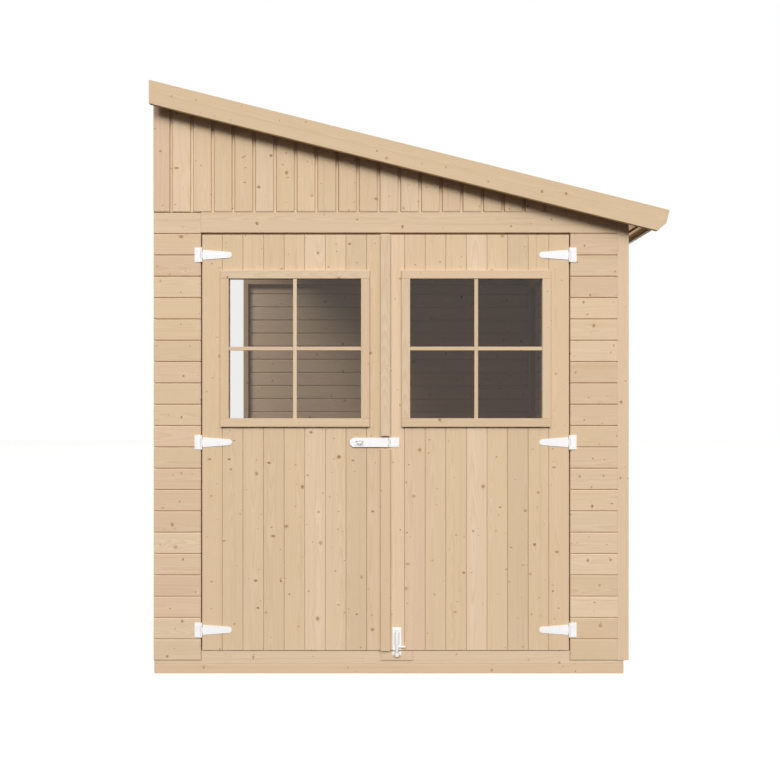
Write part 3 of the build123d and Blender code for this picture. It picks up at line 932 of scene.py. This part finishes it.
class SHED_OT_felt(bpy.types.Operator):
    """Rolls the felt over the roof in lapped strips and nails it down"""

    bl_idname = "shed.felt"
    bl_label = "Felt"

    def execute(self, context):
        sizes = context.scene.shed_boards
        _, down, out, _ = roof_slope()
        low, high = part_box("roof_felt")
        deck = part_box("roof_boards")[1]
        top = Vector((low.x, 0, high.z))
        turn = Matrix.Translation(top) @ Matrix((down, Y, out)).transposed().to_4x4()
        thickness = reach("roof_felt", out)[1] - reach("roof_boards", out)[1]
        length = (high.x - low.x) / down.x
        ends = [length - sizes.felt_strip * number for number in range(3)]
        strips = []
        for number, end in enumerate(ends):
            begin = self.begin(end, sizes)
            strip = block("strip", (begin, low.y, -thickness), (end, high.y, 0))
            if number:
                edit(strip)
                pick(strip, "FACE", lambda f: f.normal.x > FACING)
                bpy.ops.transform.translate(value=(0, 0, thickness))
                close_edit()
            ease(strip, 1 * MM)
            strip.data.transform(turn)
            if begin == 0:
                trim(strip, low, -X)
            strips.append(strip)
        drip = block("drip", (deck.x, low.y, low.z), (high.x, high.y, deck.z))
        trim(drip, top - out * thickness / 2, out)
        corner = (deck.x - sizes.felt_tuck, low.y, low.z - 2 * MM)
        tuck = block("roof_felt_tuck", corner, (high.x, high.y, low.z))
        strips.append(ease(drip, 1 * MM))
        felt = join("roof_felt_strips", strips)
        drop_maps(felt)
        settle(felt, "roof_felt", MATERIALS["felt"])
        settle(ease(tuck, 0.8 * MM), "roof_felt", MATERIALS["backing"], replaces=False)
        self.nail(self.places(sizes, low, high, length, ends, thickness), turn, sizes)
        return {"FINISHED"}

    def begin(self, end, sizes):
        """Where the strip that ends at a place down the slope begins."""
        return max(0, end - sizes.felt_strip - sizes.felt_lap)

    def places(self, sizes, low, high, length, ends, thickness):
        """The places of the nails, first along the laps and the eave and then down both verges."""
        inset, eave_inset, verge_inset = 25 * MM, 22 * MM, 20 * MM
        lap_rise = thickness * (1 - inset / (sizes.felt_strip + sizes.felt_lap))
        rows = [(end - inset, lap_rise) for end in ends[1:]] + [(length - eave_inset, 0)]
        for place, rise in rows:
            for step in range(math.floor((high.y - low.y) / sizes.nail_spacing)):
                yield place, low.y + (step + 0.5) * sizes.nail_spacing, rise
        for side in (low.y + verge_inset, high.y - verge_inset):
            for step in range(math.floor(length / sizes.nail_spacing) - 1):
                place = (step + 0.7) * sizes.nail_spacing
                yield place, side, self.rise(place, ends, sizes, thickness)

    def rise(self, place, ends, sizes, thickness):
        """How high the top of the felt lies above its plane at a place down the slope."""
        lift = 0
        for end in ends[1:]:
            begin = self.begin(end, sizes)
            if begin <= place <= end:
                lift = max(lift, thickness * (place - begin) / (end - begin))
        return lift

    def nail(self, places, turn, sizes):
        """Drives a nail at each place."""
        head = stud(sizes.nail_head, 0.3 * MM)
        nails = [moved_copy(head, turn @ Matrix.Translation(place)) for place in places]
        bpy.data.objects.remove(head)
        nails = join("felt_nails", nails)
        settle(nails, "roof_felt", MATERIALS["zinc"], replaces=False, slot="white_metal")


class SHED_OT_floor(bpy.types.Operator):
    """Lays the floor boards from front to back"""

    bl_idname = "shed.floor"
    bl_label = "Floor"

    def execute(self, context):
        widths = [context.scene.shed_boards.floor_cover] * 2
        name, node, details = "floor_deck_boards", "floor_boards", (TIGHT_GAP, 1 * MM)
        lay(name, node, (-Z, X), widths, plain_board, details, "floor", 33, grain=Y)
        return {"FINISHED"}


class SHED_OT_doors(bpy.types.Operator):
    """Boards the two door leaves and cuts their window holes"""

    bl_idname = "shed.doors"
    bl_label = "Doors"

    def execute(self, context):
        sizes = context.scene.shed_boards
        widths = (sizes.door_first, sizes.door_cover)
        details = (TIGHT_GAP, sizes.door_vee)
        around = Vector((MM, 0.1, MM))
        for side, across, seed in zip(LEAVES, (X, -X), (55, 56)):
            low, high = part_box(f"{side}_window_glass")
            hole = (low - around, high + around)
            name, node = f"{side}_leaf_boards", f"{side}_door_boards"
            lay(name, node, (Y, across), widths, plain_board, details, "door", seed, hole=hole)
        return {"FINISHED"}


class SHED_OT_windows(bpy.types.Operator):
    """Makes the casings, inner beads, bars and panes of both windows"""

    bl_idname = "shed.windows"
    bl_label = "Windows"

    def execute(self, context):
        sizes = context.scene.shed_boards
        plane = Vector((1, 0, 1))
        for number, side in enumerate(LEAVES):
            node, pane = f"{side}_window_frame", f"{side}_window_glass"
            outer_low, outer_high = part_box(node)
            pane_low, pane_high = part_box(pane)
            lap, play = plane * 9 * MM, plane * MM
            low, high = pane_low + lap, pane_high - lap
            casing = self.ring(outer_low, outer_high, low, high, outer_low.y, pane_low.y)
            bead = self.ring(pane_low - play, pane_high + play, low, high, pane_high.y, outer_high.y)
            self.finish(f"{side}_casing_wood", casing + bead, sizes.edge, 100 + number, node, True)

            middle = (low + high) / 2
            half = sizes.bar_width / 2
            front, back = pane_low.y - sizes.bar_depth, pane_low.y
            bars = [
                block("bar", (middle.x - half, front, low.z), (middle.x + half, back, high.z)),
                block("bar", (low.x, front, middle.z - half), (middle.x - half, back, middle.z + half)),
                block("bar", (middle.x + half, front, middle.z - half), (high.x, back, middle.z + half)),
            ]
            self.finish(f"{side}_window_bars", bars, sizes.edge * 0.8, 110 + number, node, False)
            coat(NODES[pane], MATERIALS["glass"])
        return {"FINISHED"}

    def ring(self, low, high, hole_low, hole_high, front, back):
        """Four boards round an opening, the level ones running through."""
        return [
            block("rail", (low.x, front, hole_high.z), (high.x, back, high.z)),
            block("rail", (low.x, front, low.z), (high.x, back, hole_low.z)),
            block("stile", (low.x, front, hole_low.z), (hole_low.x, back, hole_high.z)),
            block("stile", (hole_high.x, front, hole_low.z), (high.x, back, hole_high.z)),
        ]

    def finish(self, name, parts, edge, seed, node, replaces):
        """Joins, eases and grains the parts of one piece."""
        piece = join(name, parts)
        ease(piece, edge)
        map_timbers(piece, seed)
        settle(piece, node, MATERIALS["trim"], replaces)


PAINTED = (
    *("hinge_plates", "left_door_straps", "right_door_straps", "hasp_plate", "hasp_leaf", "hasp_staple"),
    *("bolt_housing", "bolt_rod", "bolt_keep"),
)
# The screws of each fitting: how large they are, and their places as parts of a solid's width and height
SCREWS = {
    "hinge_plates": (1.0, ((0.65, 0.2), (0.65, 0.8))),
    "left_door_straps": (1.0, ((0.2, 0.5), (0.55, 0.5), (0.92, 0.5))),
    "right_door_straps": (1.0, ((0.8, 0.5), (0.45, 0.5), (0.08, 0.5))),
    "hasp_plate": (1.0, ((0.68, 0.25), (0.68, 0.75))),
    "bolt_housing": (0.7, ((0.13, 0.07), (0.87, 0.07), (0.13, 0.93), (0.87, 0.93))),
    "bolt_keep": (0.7, ((0.13, 0.5), (0.87, 0.5))),
}


class SHED_OT_fittings(bpy.types.Operator):
    """Paints the hinges, hasp and bolt, and drives their screws"""

    bl_idname = "shed.fittings"
    bl_label = "Fittings"

    def execute(self, context):
        for node in PAINTED:
            coat(NODES[node], MATERIALS["paint"])
        for node, (size, places) in SCREWS.items():
            self.screws(node, context.scene.shed_boards.screw_head * size, places)
        return {"FINISHED"}

    def screws(self, node, radius, places):
        """Painted screw heads on the face of each solid of a node."""
        head = stud(radius, -0.5 * MM)
        upright = Matrix.Rotation(math.radians(90), 4, "X")
        heads = []
        for low, high in solid_boxes(node):
            for across, up in places:
                if node == "hinge_plates" and high.x < 0:
                    across = 1 - across
                size = high - low
                start = Vector((low.x + size.x * across, low.y - 10 * MM, low.z + size.z * up))
                hit, place, _, _ = NODES[node].ray_cast(start, Y)
                if not hit:
                    raise RuntimeError(f"no face for a screw on {node}")
                heads.append(moved_copy(head, Matrix.Translation(place) @ upright))
        bpy.data.objects.remove(head)
        settle(join(f"{node}_screws", heads), node, MATERIALS["paint"], replaces=False)


class SHED_OT_stage(bpy.types.Operator):
    """Sets up the floor, the lamps and the camera"""

    bl_idname = "shed.stage"
    bl_label = "Stage"

    def execute(self, context):
        stage = context.scene.shed_stage
        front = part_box("front_cladding_left")[0]
        self.floor()
        self.world(stage)
        self.lamps(context.scene, stage, front.x + 5 * MM)
        clear_selection()
        place = (front.x + stage.camera_side, front.y - stage.camera_distance, stage.camera_height)
        bpy.ops.object.camera_add(location=place, rotation=(math.radians(90), 0, 0))
        camera = context.object
        camera.name = "photo_camera"
        camera.data.sensor_width = 36.0
        camera.data.lens = camera.data.sensor_width * stage.camera_distance / stage.picture_width
        camera.data.clip_end = 100.0
        context.scene.camera = camera
        context.scene.view_settings.view_transform = "Standard"
        return {"FINISHED"}

    def lamps(self, scene, stage, tall_end):
        """Every lamp, of which the rear, the side and the eave one shine on some pieces only."""
        pieces = [piece for piece in scene.objects if piece.type == "MESH" and piece.name != "studio_floor"]
        at_tall_end = [piece for piece in pieces if min(v.co.x for v in piece.data.vertices) < tall_end]
        roof = ("roof_deck_boards", "roof_felt_strips", "roof_felt_tuck")
        at_eave = [bpy.data.objects[name] for name in roof]
        key = self.lamp("key_panel", "AREA", (9.0, -36.0, 22.0), (0.25, -1.0, 0.58), stage.key)
        key.shape = "RECTANGLE"
        key.size, key.size_y = stage.key_width, stage.key_height
        rear = self.lamp("rear_lamp", "SUN", (4.5, 4.5, 3.0), (0.60, 0.80, 0.50), stage.rear, pieces)
        rear.angle = stage.rear_angle
        side = self.lamp("side_lamp", "SUN", (-5.0, 0.5, 2.5), (-1.0, 0.16, 0.30), stage.side, at_tall_end)
        side.angle = stage.side_angle
        side.cycles.max_bounces = 0
        self.lamp("top_panel", "AREA", (1.0, -13.5, 27.0), (0.03, -0.45, 0.89), stage.top).size = 24.0
        left = self.lamp("left_lamp", "SUN", (-4.0, -5.0, 3.5), (-0.5, -1.0, 0.65), stage.left)
        left.angle = stage.left_angle
        eave = self.lamp("eave_panel", "AREA", (1.5, 0.0, 0.1), (0.3, 0.25, -1.0), stage.eave, at_eave)
        eave.size = 0.6
        eave.spread = math.radians(70)
        eave.cycles.max_bounces = 0

    def lamp(self, name, kind, place, source, energy, pieces=None):
        """A lamp that shines from the way its source lies, on all or some pieces, and isn't seen itself."""
        clear_selection()
        bpy.ops.object.light_add(type=kind, location=place)
        lamp = bpy.context.object
        lamp.name = name
        lamp.rotation_euler = Vector(source).to_track_quat("Z", "Y").to_euler()
        lamp.visible_camera = False
        lamp.visible_glossy = False
        lamp.data.energy = energy
        if pieces:
            lit = bpy.data.collections.new(f"{name}_pieces")
            for piece in pieces:
                lit.objects.link(piece)
            lamp.light_linking.receiver_collection = lit
        return lamp.data

    def floor(self):
        """A pale floor that looks white to the camera and keeps the shed's shadow."""
        clear_selection()
        bpy.ops.mesh.primitive_plane_add(size=26, location=(0, 0, 0))
        floor = bpy.context.object
        floor.name = "studio_floor"
        graph = new_graph("studio_floor")
        seen = graph.ray("Camera")
        colour = graph.mix(seen, (0.07, 0.07, 0.07), (0.8, 0.8, 0.8))
        paint = graph.node("BsdfDiffuse", {}, {"Color": colour})
        glow = graph.node("Emission", {}, {"Color": (1, 1, 1, 1), "Strength": seen * 0.55})
        both = graph.node("AddShader", {}, {0: paint, 1: glow})
        floor.data.materials.append(graph.output(both))
        floor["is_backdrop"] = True

    def world(self, stage):
        """An even sky that shows white where it is seen, mirrored or looked at through glass."""
        world = bpy.data.worlds.new("studio")
        bpy.context.scene.world = world
        graph = Graph(world)
        seen, mirrored, through = (graph.ray(kind) for kind in ("Camera", "Glossy", "Transmission"))
        white = seen.math("MAXIMUM", mirrored).math("MAXIMUM", through)
        strength = white * (1.0 - stage.sky) + stage.sky
        colour = graph.mix(white, (1.0, 0.96, 0.90), (1.0, 1.0, 1.0))
        sky = graph.node("Background", {}, {"Color": colour, "Strength": strength})
        graph.output(sky, "World")


OPERATORS = (
    SHED_OT_wall_boards,
    SHED_OT_gable_boards,
    SHED_OT_timbers,
    SHED_OT_roof,
    SHED_OT_felt,
    SHED_OT_floor,
    SHED_OT_doors,
    SHED_OT_windows,
    SHED_OT_fittings,
    SHED_OT_stage,
)
GROUPS = {"shed_boards": ShedBoards, "shed_finish": ShedFinish, "shed_stage": ShedStage}


class SHED_PT_panel(bpy.types.Panel):
    """Lists the steps that dress the shed and their settings."""

    bl_label = "Garden Shed"
    bl_idname = "SHED_PT_panel"
    bl_space_type = "VIEW_3D"
    bl_region_type = "UI"
    bl_category = "Shed"

    def draw(self, context):
        for step in OPERATORS:
            self.layout.operator(step.bl_idname)
        for name, group in GROUPS.items():
            box = self.layout.box()
            for setting in group.__annotations__:
                box.prop(getattr(context.scene, name), setting)


CLASSES = (*GROUPS.values(), *OPERATORS, SHED_PT_panel)


def register():
    """Adds the classes and the settings on the scene."""
    for item in CLASSES:
        bpy.utils.register_class(item)
    for name, group in GROUPS.items():
        setattr(bpy.types.Scene, name, bpy.props.PointerProperty(type=group))


def unregister():
    """Takes the settings and the classes away again."""
    for name in GROUPS:
        delattr(bpy.types.Scene, name)
    for item in reversed(CLASSES):
        bpy.utils.unregister_class(item)


def main():
    """Dresses the shed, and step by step."""
    register()
    make_materials(bpy.context.scene.shed_finish)
    bpy.ops.shed.wall_boards()
    bpy.ops.shed.gable_boards()
    bpy.ops.shed.timbers()
    bpy.ops.shed.roof()
    bpy.ops.shed.felt()
    bpy.ops.shed.floor()
    bpy.ops.shed.doors()
    bpy.ops.shed.windows()
    bpy.ops.shed.fittings()
    bpy.ops.shed.stage()
    boxes = {"cad": CAD_BOX, "visual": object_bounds()}
    boxes = {name: [list(corner) for corner in box] for name, box in boxes.items()}


if __name__ == "__main__":
    main()
